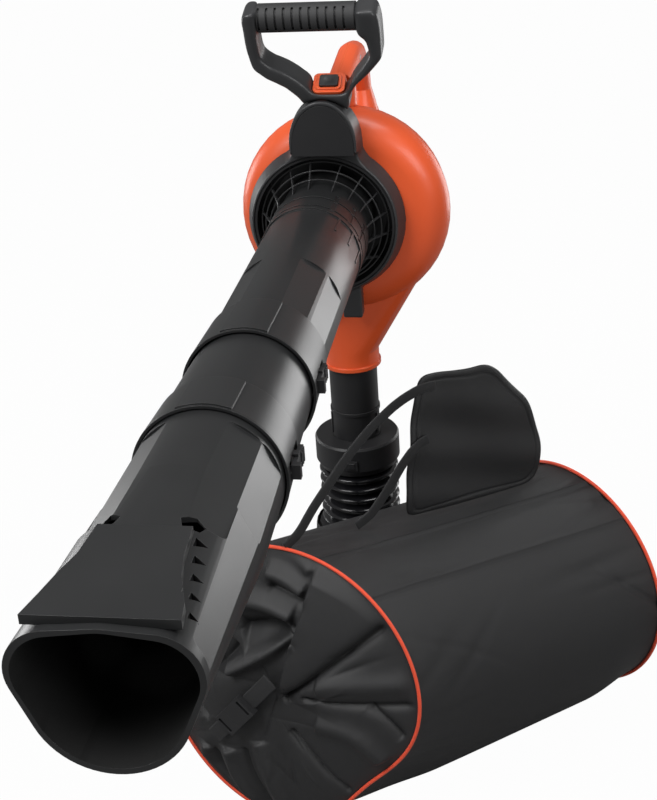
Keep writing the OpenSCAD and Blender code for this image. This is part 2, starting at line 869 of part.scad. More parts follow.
module bag_cuff() {
    color(black) at_outlet(hose_bottom + cuff_h) difference() {
        union() {
            cylinder(h = cuff_h, r = cuff_r - 3);
            cylinder(h = 4, r = cuff_r);
        }
        translate([0, 0, -1]) cylinder(h = cuff_h + 2, r = hose_r - 14);
    }
}

// ---- bag ----

// Directions that the two end faces of the bag look along
left_turn = 70;
right_turn = 48;
end_bulge = 66;
end_out = [-cos(left_turn), -sin(left_turn), 0];
far_out = [cos(right_turn), sin(right_turn), 0];
bag_along = [cos(bag_turn), sin(bag_turn), 0];
ground_cut = 4;

module bag_disc(p, r, turn, t) {
    translate(p) rotate([0, 90, turn]) cylinder(h = t, r = r, center = true, $fn = 64);
}

module below_ground(more = 0) {
    translate([-600, -700, -ground_z - 100]) cube([1400, 1400, 100 + ground_cut + more]);
}

module bag_body() {
    color(fabric) difference() {
        union() {
            hull() {
                bag_disc(bag_a, bag_r, left_turn, 4);
                bag_disc(bag_b, bag_far_r, right_turn, 4);
            }
            at_outlet(ground_z - 60)
                cylinder(h = ground_z - 60 - hose_bottom - cuff_h - clear, r = cuff_r + 3);
        }
        at_outlet(hose_bottom + cuff_h + clear) cylinder(h = 200, r = cuff_r + 2);
        below_ground();
    }
}

module bag_end() {
    color(fabric) difference() {
        hull() {
            bag_disc(bag_a + 2.6 * end_out, bag_r - 11.5, left_turn, 0.6);
            bag_disc(bag_a + end_bulge * end_out + [0, 0, -20], bag_r - 70, left_turn, 2);
        }
        below_ground();
    }
}

// A cord round the rim that ends where the bag lies flat
module piping_ring(p, r, turn) {
    ring_r = r + 0.6;
    gap = acos((r - ground_cut - piping_r - clear) / ring_r);
    translate(p) rotate([90, 0, turn + 90])
        rotate([0, 0, gap - 90]) rotate_extrude(angle = 360 - 2 * gap)
            translate([ring_r, 0]) circle(piping_r, $fn = 48);
}

module piping_left() {
    color(orange) piping_ring(bag_a + (piping_r + 2.6) * end_out, bag_r, left_turn);
}

module piping_right() {
    color(orange) piping_ring(bag_b + (piping_r + 2.6) * far_out, bag_far_r, right_turn);
}

pad_t = 12;
bag_drop = 2 * (bag_r - bag_far_r) / bag_len;

// Local x runs along the bag and local y runs up, from the top of the closure end
module harness_pad() {
    color(fabric) translate(bag_a + [0, 0, bag_r + 0.6]) rotate([90, 0, bag_turn])
        linear_extrude(pad_t) polygon([
            [163, -bag_drop * 163], [172, 60], [178, 100], [190, 152], [202, 172], [238, 170],
            [250, 160], [288, 158], [304, 152], [358, 90], [380, 26], [372, -bag_drop * 372]]);
}

// A point from the top of the closure end: along the bag, out of the pad's face, and up
function bag_point(along, out, up) = bag_a + along * bag_along
    + out * [sin(bag_turn), -cos(bag_turn), 0] + [0, 0, bag_r + up];

module strap_run(pts) {
    for (i = [0:len(pts) - 2])
        hull()
            for (p = [pts[i], pts[i + 1]])
                translate(p) rotate([0, 30, bag_turn]) cube([strap_w, strap_t, strap_t], center = true);
}

strap_w = 16;
strap_t = 3;
strap_out = pad_t + clear + strap_t / 2;
strap_rest = strap_w / 2 * sin(30) + strap_t / 2 * cos(30) + clear;

module strap_left() {
    color(fabric) strap_run([
        bag_point(204, strap_out + 1, 160), bag_point(189, strap_out + 1, 166), bag_point(160, 6, 158),
        bag_point(122, 2, 136), bag_point(86, 0, 104), bag_point(32, 0, 41),
        bag_point(10, 0, strap_rest - 10 * bag_drop + 0.2)]);
}

module strap_right() {
    color(fabric) strap_run([
        bag_point(192, strap_out, 92), bag_point(166, strap_out, 78), bag_point(140, 6, 30),
        bag_point(113, 0, strap_rest - 113 * bag_drop + 0.2)]);
}

buckle_w = 30;
buckle_t = 12;
buckle_turn = [0, -50, left_turn - 90];
buckle_side = 56;
buckle_drop = 32;
web_t = 3;

// Local x runs up along the closure webbing and local y points into the bag
module buckle_place() {
    side = [-sin(left_turn), cos(left_turn), 0];
    translate(bag_a + (end_bulge + 1 + clear + buckle_t / 2) * end_out
        + buckle_side * side + [0, 0, -buckle_drop])
        rotate(buckle_turn) children();
}

module buckle_slot(x) {
    translate([x, -buckle_t, -buckle_w / 2 + 4]) cube([4, 2 * buckle_t, buckle_w - 8]);
}

module buckle_socket() {
    color(black) buckle_place() difference() {
        translate([0, -buckle_t / 2, -buckle_w / 2]) cube([34, buckle_t, buckle_w]);
        translate([-1, -3.5, -buckle_w / 2 + 4]) cube([24, 7, buckle_w - 8]);
        buckle_slot(27);
    }
}

module buckle_plug() {
    color(black) buckle_place() difference() {
        union() {
            translate([-20 - clear, -buckle_t / 2, -buckle_w / 2]) cube([20, buckle_t, buckle_w]);
            for (z = [-buckle_w / 2 + 4.5, -2.5, buckle_w / 2 - 9.5])
                translate([-1, -3.2, z]) cube([z == -2.5 ? 12 : 20, 6.4, 5]);
        }
        buckle_slot(-17);
    }
}

module webbing(x, l) {
    color(fabric) buckle_place() translate([x, buckle_t / 2 - web_t, -buckle_w / 2 + 4 + clear])
        cube([l, web_t, buckle_w - 8 - 2 * clear]);
}

module closure_strap() {
    webbing(34 + clear, 52);
}

module plug_strap() {
    webbing(-20 - 2 * clear - 34, 34);
}

// ---- power inlet ----

module power_inlet() {
    color(black) translate([17, motor_y1 + 26 + clear, 0]) rotate([-90, 0, 0]) difference() {
        rounded_plate(30, 22, 14, 5);
        translate([0, 0, 4]) rounded_plate(24, 16, 20, 4);
        for (s = [-1, 1]) translate([s * 5, 0, 1]) cylinder(h = 30, r = 1.2);
    }
}

place() volute_front();
place() volute_rear();
place() intake_bracket();
place() bracket_panel();
place() intake_bowl();
place() tube_guard();
place() upper_tube();
place() upper_coupling();
place() middle_tube();
place() lower_coupling();
place() lower_tube();
place() scraper_plate();
place() latch_mounts();
place() upper_latch();
place() lower_latch();
place() handle_frame();
place() grip_sleeve();
place() switch_platform();
place() thumb_switch();
place() rear_handle_left();
place() rear_handle_right();
place() handle_screws();
place() motor_housing();
place() motor_cover();
place() stator();
place() rotor_core();
place() motor_shaft();
place() front_bearing();
place() rear_bearing();
place() commutator();
place() brushes();
place() impeller();
place() fan_nut();
place() outlet_tube();
place() outlet_collar();
place() collar_button();
place() bellows_hose();
place() bag_cuff();
place() bag_body();
place() bag_end();
place() piping_left();
place() piping_right();
place() harness_pad();
place() strap_left();
place() strap_right();
place() closure_strap();
place() buckle_socket();
place() buckle_plug();
place() plug_strap();
place() power_inlet();
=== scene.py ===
# Leaf blower and garden vacuum with its collecting bag: finishes and cloth round the fixed CAD frame.
import json
import math
import random

import bmesh
import bpy
import numpy as np
from mathutils import Matrix, Vector

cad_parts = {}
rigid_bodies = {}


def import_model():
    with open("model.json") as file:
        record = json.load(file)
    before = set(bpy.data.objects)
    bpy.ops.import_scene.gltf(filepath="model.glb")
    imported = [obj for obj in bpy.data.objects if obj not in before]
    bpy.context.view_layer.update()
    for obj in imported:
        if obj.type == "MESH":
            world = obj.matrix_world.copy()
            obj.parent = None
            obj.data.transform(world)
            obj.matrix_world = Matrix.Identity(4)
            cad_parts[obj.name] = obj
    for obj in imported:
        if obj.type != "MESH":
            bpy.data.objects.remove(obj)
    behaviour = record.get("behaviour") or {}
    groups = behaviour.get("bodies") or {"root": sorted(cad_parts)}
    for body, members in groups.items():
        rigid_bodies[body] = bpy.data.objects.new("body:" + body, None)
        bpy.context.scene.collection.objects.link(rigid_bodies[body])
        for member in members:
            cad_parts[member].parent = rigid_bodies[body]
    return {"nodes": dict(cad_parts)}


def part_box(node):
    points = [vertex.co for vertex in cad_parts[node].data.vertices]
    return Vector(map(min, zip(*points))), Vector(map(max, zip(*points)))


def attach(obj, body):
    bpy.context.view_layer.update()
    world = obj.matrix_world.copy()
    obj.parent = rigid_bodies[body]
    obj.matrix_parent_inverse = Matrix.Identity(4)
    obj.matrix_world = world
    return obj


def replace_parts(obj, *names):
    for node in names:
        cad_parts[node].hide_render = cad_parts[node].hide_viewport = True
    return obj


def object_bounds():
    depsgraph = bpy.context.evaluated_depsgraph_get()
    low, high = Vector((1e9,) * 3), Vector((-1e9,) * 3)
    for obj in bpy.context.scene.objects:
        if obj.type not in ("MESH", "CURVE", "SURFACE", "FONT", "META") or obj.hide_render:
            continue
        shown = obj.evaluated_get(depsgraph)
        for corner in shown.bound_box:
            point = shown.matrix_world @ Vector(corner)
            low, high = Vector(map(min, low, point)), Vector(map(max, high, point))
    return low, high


for stray in list(bpy.data.objects):
    bpy.data.objects.remove(stray)
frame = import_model()
bpy.context.view_layer.update()
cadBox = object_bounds()
nodes = frame["nodes"]
print("frame loaded:", len(nodes), "nodes")

cameraSet = {
    "place": (0.3373, -1.8345, 0.4179),
    "right": (0.9861, 0.1537, -0.0628),
    "up": (-0.0113, 0.4396, 0.8981),
    "back": (0.1656, -0.8850, 0.4352),
    "lens": 73.8,
    "sensor": 36,
    "clip": (0.05, 50),
}


def makeCamera():
    data = bpy.data.cameras.new("studioCamera")
    data.lens, data.sensor_width = cameraSet["lens"], cameraSet["sensor"]
    data.clip_start, data.clip_end = cameraSet["clip"]
    camera = bpy.data.objects.new("studioCamera", data)
    bpy.context.scene.collection.objects.link(camera)
    columns = [Vector(cameraSet[k]).normalized() for k in ("right", "up", "back")]
    turn = Matrix(columns).transposed().to_4x4()
    camera.matrix_world = Matrix.Translation(cameraSet["place"]) @ turn
    bpy.context.scene.camera = camera


lightSet = {
    "world": 0.20,
    "lamps": [  # name, place, aim, size, watts
        ("keySoftbox", (-1.5, -1.6, 2.1), (0.0, 0.0, -0.4), 1.6, 92),
        ("leftPanel", (-1.7, 0.9, -0.2), (0.0, -0.3, -0.1), 0.7, 9),
        ("backRight", (1.12, 1.45, -0.40), (0.0, -0.4, 0.0), 0.9, 9),
        ("frontRight", (2.2, -1.7, 0.9), (0.2, -0.2, -0.5), 1.3, 34),
        ("topPanel", (0.6, -0.3, 2.5), (0.1, -0.1, -0.5), 1.4, 40),
    ],
}


def makeLights():
    for name, place, aim, size, watts in lightSet["lamps"]:
        data = bpy.data.lights.new(name, "AREA")
        data.shape, data.size, data.energy = "SQUARE", size, watts
        lamp = bpy.data.objects.new(name, data)
        bpy.context.scene.collection.objects.link(lamp)
        lamp.location = place
        lamp.visible_camera = False
        lamp.rotation_mode = "QUATERNION"
        lamp.rotation_quaternion = (Vector(aim) - Vector(place)).to_track_quat("-Z", "Y")


def addNode(tree, kind, inputs=None, **settings):
    made = tree.nodes.new(kind)
    for key, value in settings.items():
        setattr(made, key, value)
    for key, value in (inputs or {}).items():
        if isinstance(value, bpy.types.NodeSocket):
            tree.links.new(value, made.inputs[key])
        else:
            made.inputs[key].default_value = value
    return made


def newGroup(name, inputs, outputs):
    group = bpy.data.node_groups.new(name, "ShaderNodeTree")
    for label, kind, value in inputs:
        socket = group.interface.new_socket(label, in_out="INPUT", socket_type=kind)
        socket.default_value = value
    for label, kind in outputs:
        group.interface.new_socket(label, in_out="OUTPUT", socket_type=kind)
    start = group.nodes.new("NodeGroupInput")
    end = group.nodes.new("NodeGroupOutput")
    return group, start.outputs, end.inputs


def mathNode(tree, operation, a, b=0.0, clamp=False):
    made = tree.nodes.new("ShaderNodeMath")
    made.operation, made.use_clamp = operation, clamp
    for socket, value in zip(made.inputs, (a, b)):
        if isinstance(value, bpy.types.NodeSocket):
            tree.links.new(value, socket)
        else:
            socket.default_value = value
    return made.outputs[0]


def addNoise(group, scale, detail, roughness=0.5):
    place = addNode(group, "ShaderNodeTexCoord").outputs["Object"]
    inputs = {"Vector": place, "Scale": scale, "Detail": detail, "Roughness": roughness}
    return addNode(group, "ShaderNodeTexNoise", inputs).outputs[0]


def dotOf(group, a, b):
    made = addNode(group, "ShaderNodeVectorMath", {0: a, 1: b}, operation="DOT_PRODUCT")
    return made.outputs["Value"]


edgeSet = {"samples": 6, "wearGain": 9.0, "patchDetail": 4.0, "patchFrom": 0.42, "patchTo": 0.68}


def makeSoftEdge():  # rounded edge normals, and a mask of worn edges
    group, start, end = newGroup(
        "softEdge",
        [("Radius", "NodeSocketFloat", 0.001), ("Patchiness", "NodeSocketFloat", 60.0)],
        [("Normal", "NodeSocketVector"), ("Wear", "NodeSocketFloat")],
    )
    bevel = addNode(
        group, "ShaderNodeBevel", {"Radius": start["Radius"]}, samples=edgeSet["samples"]
    )
    geometry = addNode(group, "ShaderNodeNewGeometry")
    facing = dotOf(group, bevel.outputs[0], geometry.outputs["Normal"])
    turned = mathNode(group, "SUBTRACT", 1.0, facing)
    edge = mathNode(group, "MULTIPLY", turned, edgeSet["wearGain"], True)
    patches = addNoise(group, start["Patchiness"], edgeSet["patchDetail"])
    limits = {"Value": patches, "From Min": edgeSet["patchFrom"], "From Max": edgeSet["patchTo"]}
    patchy = addNode(group, "ShaderNodeMapRange", limits)
    group.links.new(bevel.outputs[0], end["Normal"])
    group.links.new(mathNode(group, "MULTIPLY", edge, patchy.outputs[0]), end["Wear"])
    return group


def makeMouldGrain():  # fine spark-eroded grain and slow cloudiness of moulded plastic
    group, start, end = newGroup(
        "mouldGrain",
        [("Grain", "NodeSocketFloat", 900.0), ("Cloud", "NodeSocketFloat", 14.0)],
        [("Height", "NodeSocketFloat"), ("Cloudy", "NodeSocketFloat")],
    )
    group.links.new(addNoise(group, start["Grain"], 2.0, 0.6), end["Height"])
    group.links.new(addNoise(group, start["Cloud"], 3.0), end["Cloudy"])
    return group


def makeWeave():  # plain weave from two crossed waves along the cloth's own threads
    group, start, end = newGroup(
        "plainWeave",
        [("Threads", "NodeSocketFloat", 800.0), ("Slub", "NodeSocketFloat", 90.0)],
        [("Height", "NodeSocketFloat"), ("Slubs", "NodeSocketFloat")],
    )
    place = addNode(group, "ShaderNodeTexCoord")
    threads = {"Vector": place.outputs["UV"], "Scale": start["Threads"]}
    waves = [addNode(group, "ShaderNodeTexWave", threads, bands_direction=way) for way in "XY"]
    height = mathNode(group, "MULTIPLY", *(wave.outputs["Fac"] for wave in waves))
    group.links.new(height, end["Height"])
    group.links.new(addNoise(group, start["Slub"], 5.0, 0.7), end["Slubs"])
    return group


def makeTubeInside():  # the faces that look in towards the suction tube's axis, which runs along Y: the mask for the painted shade inside the tube
    group, start, end = newGroup(
        "tubeInside", [("Axis Height", "NodeSocketFloat", 0.0)], [("Inside", "NodeSocketFloat")]
    )
    place = addNode(group, "ShaderNodeTexCoord")
    parts = addNode(group, "ShaderNodeSeparateXYZ", {0: place.outputs["Object"]})
    rise = mathNode(group, "SUBTRACT", parts.outputs[2], start["Axis Height"])
    outward = addNode(group, "ShaderNodeCombineXYZ", {0: parts.outputs[0], 2: rise})
    facing = dotOf(group, outward.outputs[0], place.outputs["Normal"])
    group.links.new(mathNode(group, "LESS_THAN", facing, -0.01), end["Inside"])
    return group


softEdge, mouldGrain, plainWeave = makeSoftEdge(), makeMouldGrain(), makeWeave()
tubeInside = makeTubeInside()
intakeLow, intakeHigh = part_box("upper_tube")
tubeSet = {
    "axisHeight": (intakeLow.z + intakeHigh.z) / 2,
    # the inside colour is painted shade, a near black for the hollow of the suction tube
    "insideShadeColour": (0.0008, 0.0008, 0.0008),
    "insideDullness": 0.45,
}


def placeGroup(tree, group, values):
    made = tree.nodes.new("ShaderNodeGroup")
    made.node_tree = group
    for key, value in values.items():
        made.inputs[key].default_value = value
    return made.outputs


def mixColours(tree, share, a, b):
    made = tree.nodes.new("ShaderNodeMix")
    made.data_type = "RGBA"
    for index, value in ((0, share), (6, a), (7, b)):
        if isinstance(value, bpy.types.NodeSocket):
            tree.links.new(value, made.inputs[index])
        else:
            made.inputs[index].default_value = (*value, 1)
    return made.outputs[2]


def newMaterial(name):
    material = bpy.data.materials.new(name)
    material.use_nodes = True
    tree = material.node_tree
    return material, tree, tree.nodes["Principled BSDF"]


# smooth and rough bound the roughness; edge is a radius and depth the grain's, both in metres
plastics = {
    "orange_plastic": {
        "colour": (0.70, 0.084, 0.018), "cloud": (0.76, 0.105, 0.026), "worn": (0.88, 0.22, 0.07),
        "smooth": 0.34, "rough": 0.46, "edge": 0.0016, "grain": 900, "depth": 0.00003, "coat": 0.1,
    },
    "black_plastic": {
        "colour": (0.010, 0.010, 0.011), "cloud": (0.016, 0.016, 0.017), "worn": (0.09, 0.09, 0.09),
        "smooth": 0.40, "rough": 0.54, "edge": 0.0006, "grain": 700, "depth": 0.00006, "coat": 0.0,
    },
    "tube_plastic": {
        "colour": (0.0125, 0.0128, 0.0132), "cloud": (0.018, 0.0184, 0.019), "worn": (0.08, 0.08, 0.08),
        "smooth": 0.29, "rough": 0.38, "edge": 0.0005, "grain": 800, "depth": 0.00003, "coat": 0.0,
    },
    "grey_plastic": {
        "colour": (0.024, 0.0245, 0.026), "cloud": (0.033, 0.0335, 0.035), "worn": (0.12, 0.12, 0.12),
        "smooth": 0.34, "rough": 0.45, "edge": 0.0012, "grain": 800, "depth": 0.00005, "coat": 0.0,
    },
    "latch_plastic": {
        "colour": (0.014, 0.014, 0.015), "cloud": (0.020, 0.020, 0.021), "worn": (0.12, 0.12, 0.12),
        "smooth": 0.35, "rough": 0.5, "edge": 0.0008, "grain": 800, "depth": 0.00004, "coat": 0.0,
    },
    "grip_rubber": {
        "colour": (0.016, 0.016, 0.017), "cloud": (0.024, 0.024, 0.025), "worn": (0.07, 0.07, 0.07),
        "smooth": 0.55, "rough": 0.75, "edge": 0.0010, "grain": 600, "depth": 0.00010, "coat": 0.0,
    },
    "hose_gloss": {
        "colour": (0.004, 0.004, 0.005), "cloud": (0.008, 0.008, 0.009), "worn": (0.03, 0.03, 0.03),
        "smooth": 0.08, "rough": 0.20, "edge": 0.0010, "grain": 500, "depth": 0.00001, "coat": 0.6,
    },
    "carbon": {
        "colour": (0.02, 0.02, 0.021), "cloud": (0.035, 0.035, 0.036), "worn": (0.08, 0.08, 0.08),
        "smooth": 0.5, "rough": 0.7, "edge": 0.0004, "grain": 900, "depth": 0.00005, "coat": 0.0,
    },
}


plasticSet = {"patchiness": 55.0, "cloud": 12.0, "wear": 0.45, "coatRough": 0.12}


def spreadOver(tree, value, low, high):
    limits = {"Value": value, "To Min": low, "To Max": high}
    return addNode(tree, "ShaderNodeMapRange", limits).outputs[0]


def edgeAndGrain(tree, edge, patchiness, grain, cloud):
    edges = placeGroup(tree, softEdge, {"Radius": edge, "Patchiness": patchiness})
    return edges, placeGroup(tree, mouldGrain, {"Grain": float(grain), "Cloud": cloud})


def addBump(tree, shader, inputs):
    tree.links.new(addNode(tree, "ShaderNodeBump", inputs).outputs[0], shader.inputs["Normal"])


def makePlastic(name):
    finish = plastics[name]
    material, tree, shader = newMaterial(name)
    patchiness, cloud = plasticSet["patchiness"], plasticSet["cloud"]
    edge, grain = edgeAndGrain(tree, finish["edge"], patchiness, finish["grain"], cloud)
    base = mixColours(tree, grain["Cloudy"], finish["colour"], finish["cloud"])
    wearShare = mathNode(tree, "MULTIPLY", edge["Wear"], plasticSet["wear"])
    skin = mixColours(tree, wearShare, base, finish["worn"])
    gloss = spreadOver(tree, grain["Cloudy"], finish["smooth"], finish["rough"])
    if name == "tube_plastic":  # painted shade: the faces inside the suction tube are painted a dead black, and made duller
        inside = placeGroup(tree, tubeInside, {"Axis Height": tubeSet["axisHeight"]})["Inside"]
        skin = mixColours(tree, inside, skin, tubeSet["insideShadeColour"])
        dull = mathNode(tree, "MULTIPLY", inside, tubeSet["insideDullness"])
        gloss = mathNode(tree, "ADD", gloss, dull, True)
    tree.links.new(skin, shader.inputs["Base Color"])
    tree.links.new(gloss, shader.inputs["Roughness"])
    relief = {"Height": grain["Height"], "Normal": edge["Normal"], "Distance": finish["depth"]}
    addBump(tree, shader, relief)
    if finish["coat"]:
        shader.inputs["Coat Weight"].default_value = finish["coat"]
        shader.inputs["Coat Roughness"].default_value = plasticSet["coatRough"]
    return material


metalSet = {"edge": 0.0004, "patchiness": 90.0, "grain": 1600.0, "cloud": 40.0, "depth": 0.00002}
metals = {  # colour, stained colour, roughness from and to
    "steel": ((0.56, 0.56, 0.57), (0.40, 0.40, 0.41), 0.22, 0.42),
    "copper": ((0.72, 0.36, 0.20), (0.46, 0.21, 0.11), 0.25, 0.45),
}


def makeMetal(name):
    colour, stain, smooth, rough = metals[name]
    material, tree, shader = newMaterial(name)
    shader.inputs["Metallic"].default_value = 1.0
    edge, grain = edgeAndGrain(tree, *(metalSet[k] for k in ("edge", "patchiness", "grain", "cloud")))
    tree.links.new(mixColours(tree, grain["Cloudy"], colour, stain), shader.inputs["Base Color"])
    tree.links.new(spreadOver(tree, grain["Cloudy"], smooth, rough), shader.inputs["Roughness"])
    relief = {"Height": grain["Height"], "Normal": edge["Normal"], "Distance": metalSet["depth"]}
    addBump(tree, shader, relief)
    return material


clothSet = {"slub": 160.0, "smoother": 0.08, "rougher": 0.1, "sheenRough": 0.5}
cloths = {  # colour, slub colour, roughness, threads, weave depth, sheen
    "bag_fabric": ((0.0085, 0.0085, 0.009), (0.019, 0.019, 0.020), 0.52, 420, 0.00012, 0.01),
    "webbing": ((0.010, 0.010, 0.011), (0.020, 0.020, 0.021), 0.7, 300, 0.0003, 0.04),
    "orange_piping": ((0.80, 0.055, 0.016), (0.88, 0.10, 0.035), 0.5, 350, 0.0002, 0.1),
}


def makeCloth(name):
    colour, slub, rough, threads, depth, sheen = cloths[name]
    material, tree, shader = newMaterial(name)
    weave = placeGroup(tree, plainWeave, {"Threads": float(threads), "Slub": clothSet["slub"]})
    tree.links.new(mixColours(tree, weave["Slubs"], colour, slub), shader.inputs["Base Color"])
    low, high = rough - clothSet["smoother"], rough + clothSet["rougher"]
    gloss = spreadOver(tree, weave["Slubs"], low, high)
    tree.links.new(gloss, shader.inputs["Roughness"])
    addBump(tree, shader, {"Height": weave["Height"], "Distance": depth})
    shader.inputs["Sheen Weight"].default_value = sheen
    shader.inputs["Sheen Roughness"].default_value = clothSet["sheenRough"]
    return material


materials = {name: makePlastic(name) for name in plastics}
materials.update({name: makeMetal(name) for name in metals})
materials.update({name: makeCloth(name) for name in cloths})
print("materials made:", len(materials))


floorSet = {"size": 14.0, "colour": (0.22, 0.22, 0.22), "rough": 0.9, "gap": 0.0004, "glow": 0.98}


def makeFloor():
    half, z = floorSet["size"] / 2, cadBox[0].z - floorSet["gap"]
    mesh = bpy.data.meshes.new("floor")
    corners = [(-half, -half, z), (half, -half, z), (half, half, z), (-half, half, z)]
    mesh.from_pydata(corners, [], [(0, 1, 2, 3)])
    floor = bpy.data.objects.new("floor", mesh)
    bpy.context.scene.collection.objects.link(floor)
    material, tree, shader = newMaterial("palePaper")
    shader.inputs["Base Color"].default_value = (*floorSet["colour"], 1)
    shader.inputs["Roughness"].default_value = floorSet["rough"]
    path = addNode(tree, "ShaderNodeLightPath")
    glow = addNode(tree, "ShaderNodeEmission", {"Color": (1, 1, 1, 1), "Strength": 1.0})
    share = mathNode(tree, "MULTIPLY", path.outputs["Is Camera Ray"], floorSet["glow"])
    mix = addNode(tree, "ShaderNodeMixShader", {0: share, 1: shader.outputs[0], 2: glow.outputs[0]})
    tree.links.new(mix.outputs[0], tree.nodes["Material Output"].inputs["Surface"])
    mesh.materials.append(material)


def makeWorld():
    world = bpy.data.worlds.new("studio")
    bpy.context.scene.world = world
    world.use_nodes = True
    tree = world.node_tree
    background = tree.nodes["Background"]
    path = addNode(tree, "ShaderNodeLightPath")
    cameraRay, throughRay = path.outputs["Is Camera Ray"], path.outputs["Is Transmission Ray"]
    seen = mathNode(tree, "MAXIMUM", cameraRay, throughRay, True)
    dim = lightSet["world"]
    level = mathNode(tree, "ADD", mathNode(tree, "MULTIPLY", seen, 1.0 - dim), dim)
    background.inputs["Color"].default_value = (1, 1, 1, 1)
    tree.links.new(level, background.inputs["Strength"])


smoothSet = {"weld": 0.00002, "angle": 26, "tubeAngle": 10}


def makeSmoother(name, angle):  # smooth shading, but for edges sharper than the angle
    tree = bpy.data.node_groups.new(name, "GeometryNodeTree")
    tree.interface.new_socket("Geometry", in_out="INPUT", socket_type="NodeSocketGeometry")
    tree.interface.new_socket("Geometry", in_out="OUTPUT", socket_type="NodeSocketGeometry")
    start, end = tree.nodes.new("NodeGroupInput"), tree.nodes.new("NodeGroupOutput")
    joined = {"Geometry": start.outputs[0], "Distance": smoothSet["weld"]}
    weld = addNode(tree, "GeometryNodeMergeByDistance", joined)
    faces = addNode(
        tree,
        "GeometryNodeSetShadeSmooth",
        {"Geometry": weld.outputs[0], "Shade Smooth": True},
        domain="FACE",
    )
    bend = addNode(tree, "GeometryNodeInputMeshEdgeAngle")
    sharp = addNode(
        tree,
        "FunctionNodeCompare",
        {0: bend.outputs["Unsigned Angle"], 1: math.radians(angle)},
        data_type="FLOAT",
        operation="GREATER_THAN",
    )
    edges = addNode(
        tree,
        "GeometryNodeSetShadeSmooth",
        {"Geometry": faces.outputs[0], "Selection": sharp.outputs[0], "Shade Smooth": False},
        domain="EDGE",
    )
    tree.links.new(edges.outputs[0], end.inputs[0])
    return tree


def dressNodes():
    smoother = makeSmoother("smoothByAngle", smoothSet["angle"])
    tubeSmoother = makeSmoother("smoothTubes", smoothSet["tubeAngle"])
    for node in nodes.values():
        slot = node.data.materials[0].name.split(".")[0]
        node.data.materials.clear()
        node.data.materials.append(materials[slot])
        modifier = node.modifiers.new("smoothByAngle", "NODES")
        modifier.node_group = tubeSmoother if slot == "tube_plastic" else smoother


def addPiece(name, points, faces, slot, body="blower", uv=None):
    mesh = bpy.data.meshes.new(name)
    mesh.from_pydata([tuple(p) for p in points], [], faces)
    mesh.validate()
    mesh.polygons.foreach_set("use_smooth", [True] * len(mesh.polygons))
    if uv is not None:
        layer = mesh.uv_layers.new(name="cloth")
        for loop in mesh.loops:
            layer.data[loop.index].uv = uv[loop.vertex_index]
    mesh.materials.append(materials[slot])
    piece = bpy.data.objects.new(name, mesh)
    bpy.context.scene.collection.objects.link(piece)
    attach(piece, body)
    return piece


def gridFaces(rows, columns, closed, flip=False):
    faces = []
    for i in range(rows - 1):
        for j in range(columns if closed else columns - 1):
            k = (j + 1) % columns
            face = (i * columns + j, i * columns + k, (i + 1) * columns + k, (i + 1) * columns + j)
            faces.append(face[::-1] if flip else face)
    return faces


def nodePoints(name):
    return np.array([v.co for v in nodes[name].data.vertices], float)


def unit(v):
    v = np.array(v, float)
    return v / np.linalg.norm(v)


def fitRing(name):  # centre, normal and radius of a CAD node that is an open ring
    points = nodePoints(name)
    middle = points.mean(0)
    normal = np.linalg.svd(points - middle, full_matrices=False)[2][2]
    side = unit(np.cross(normal, (0, 0, 1.0)))
    flat = np.stack([(points - middle) @ side, points[:, 2] - middle[2]], 1)
    system = np.column_stack([2 * flat, np.ones(len(flat))])
    a, b, c = np.linalg.lstsq(system, (flat**2).sum(1), rcond=None)[0]
    centre = middle + a * side + np.array([0, 0, b])
    return centre, normal, math.sqrt(c + a * a + b * b)


def smoothStep(x):
    x = np.clip(x, 0, 1)
    return x * x * (3 - 2 * x)


def evenPath(points, count, closed=False):  # the same line through evenly spaced points
    points = np.array(points, float)
    if closed:
        points = np.vstack([points, points[:1]])
    lengths = np.linalg.norm(np.diff(points, axis=0), axis=1)
    at = np.concatenate([[0], np.cumsum(lengths)])
    want = np.linspace(0, at[-1], count + 1)[:-1] if closed else np.linspace(0, at[-1], count)
    return np.stack([np.interp(want, at, points[:, k]) for k in range(points.shape[1])], 1)


def roundPath(points, times, closed=False):  # cuts the corners of a line
    points = np.array(points, float)
    for _ in range(times):
        after = np.roll(points, -1, 0) if closed else points[1:]
        before = points if closed else points[:-1]
        mixed = np.stack([0.75 * before + 0.25 * after, 0.25 * before + 0.75 * after], 1)
        mixed = mixed.reshape(-1, points.shape[1])
        points = mixed if closed else np.vstack([points[:1], mixed, points[-1:]])
    return points


# distance to a line of points, its sign by side, and the share along it
def lineDistance(x, z, line):
    best = np.full(x.shape, 1e9)
    sign, share = np.ones(x.shape), np.zeros(x.shape)
    total = len(line) - 1
    for k in range(total):
        (ax, az), (bx, bz) = line[k], line[k + 1]
        dx, dz = bx - ax, bz - az
        t = np.clip(((x - ax) * dx + (z - az) * dz) / (dx * dx + dz * dz), 0, 1)
        px, pz = x - ax - t * dx, z - az - t * dz
        d = np.hypot(px, pz)
        near = d < best
        best = np.where(near, d, best)
        sign = np.where(near, np.sign(dx * pz - dz * px), sign)
        share = np.where(near, (k + t) / total, share)
    return best, sign, share


stitchSet = {
    "pitch": 0.0046,
    "length": 0.0031,
    "thick": 0.00042,
    "sides": 6,
    "rings": ((-0.5, 0.35), (-0.36, 0.9), (0.0, 1.0), (0.36, 0.9), (0.5, 0.35)),  # place along, size
    "raise": 0.5,
    "dip": 2.2,  # how far its ends sink into the cloth
    "step": 0.0005,
}


threadLift = 0.0002  # stitches above their cloth


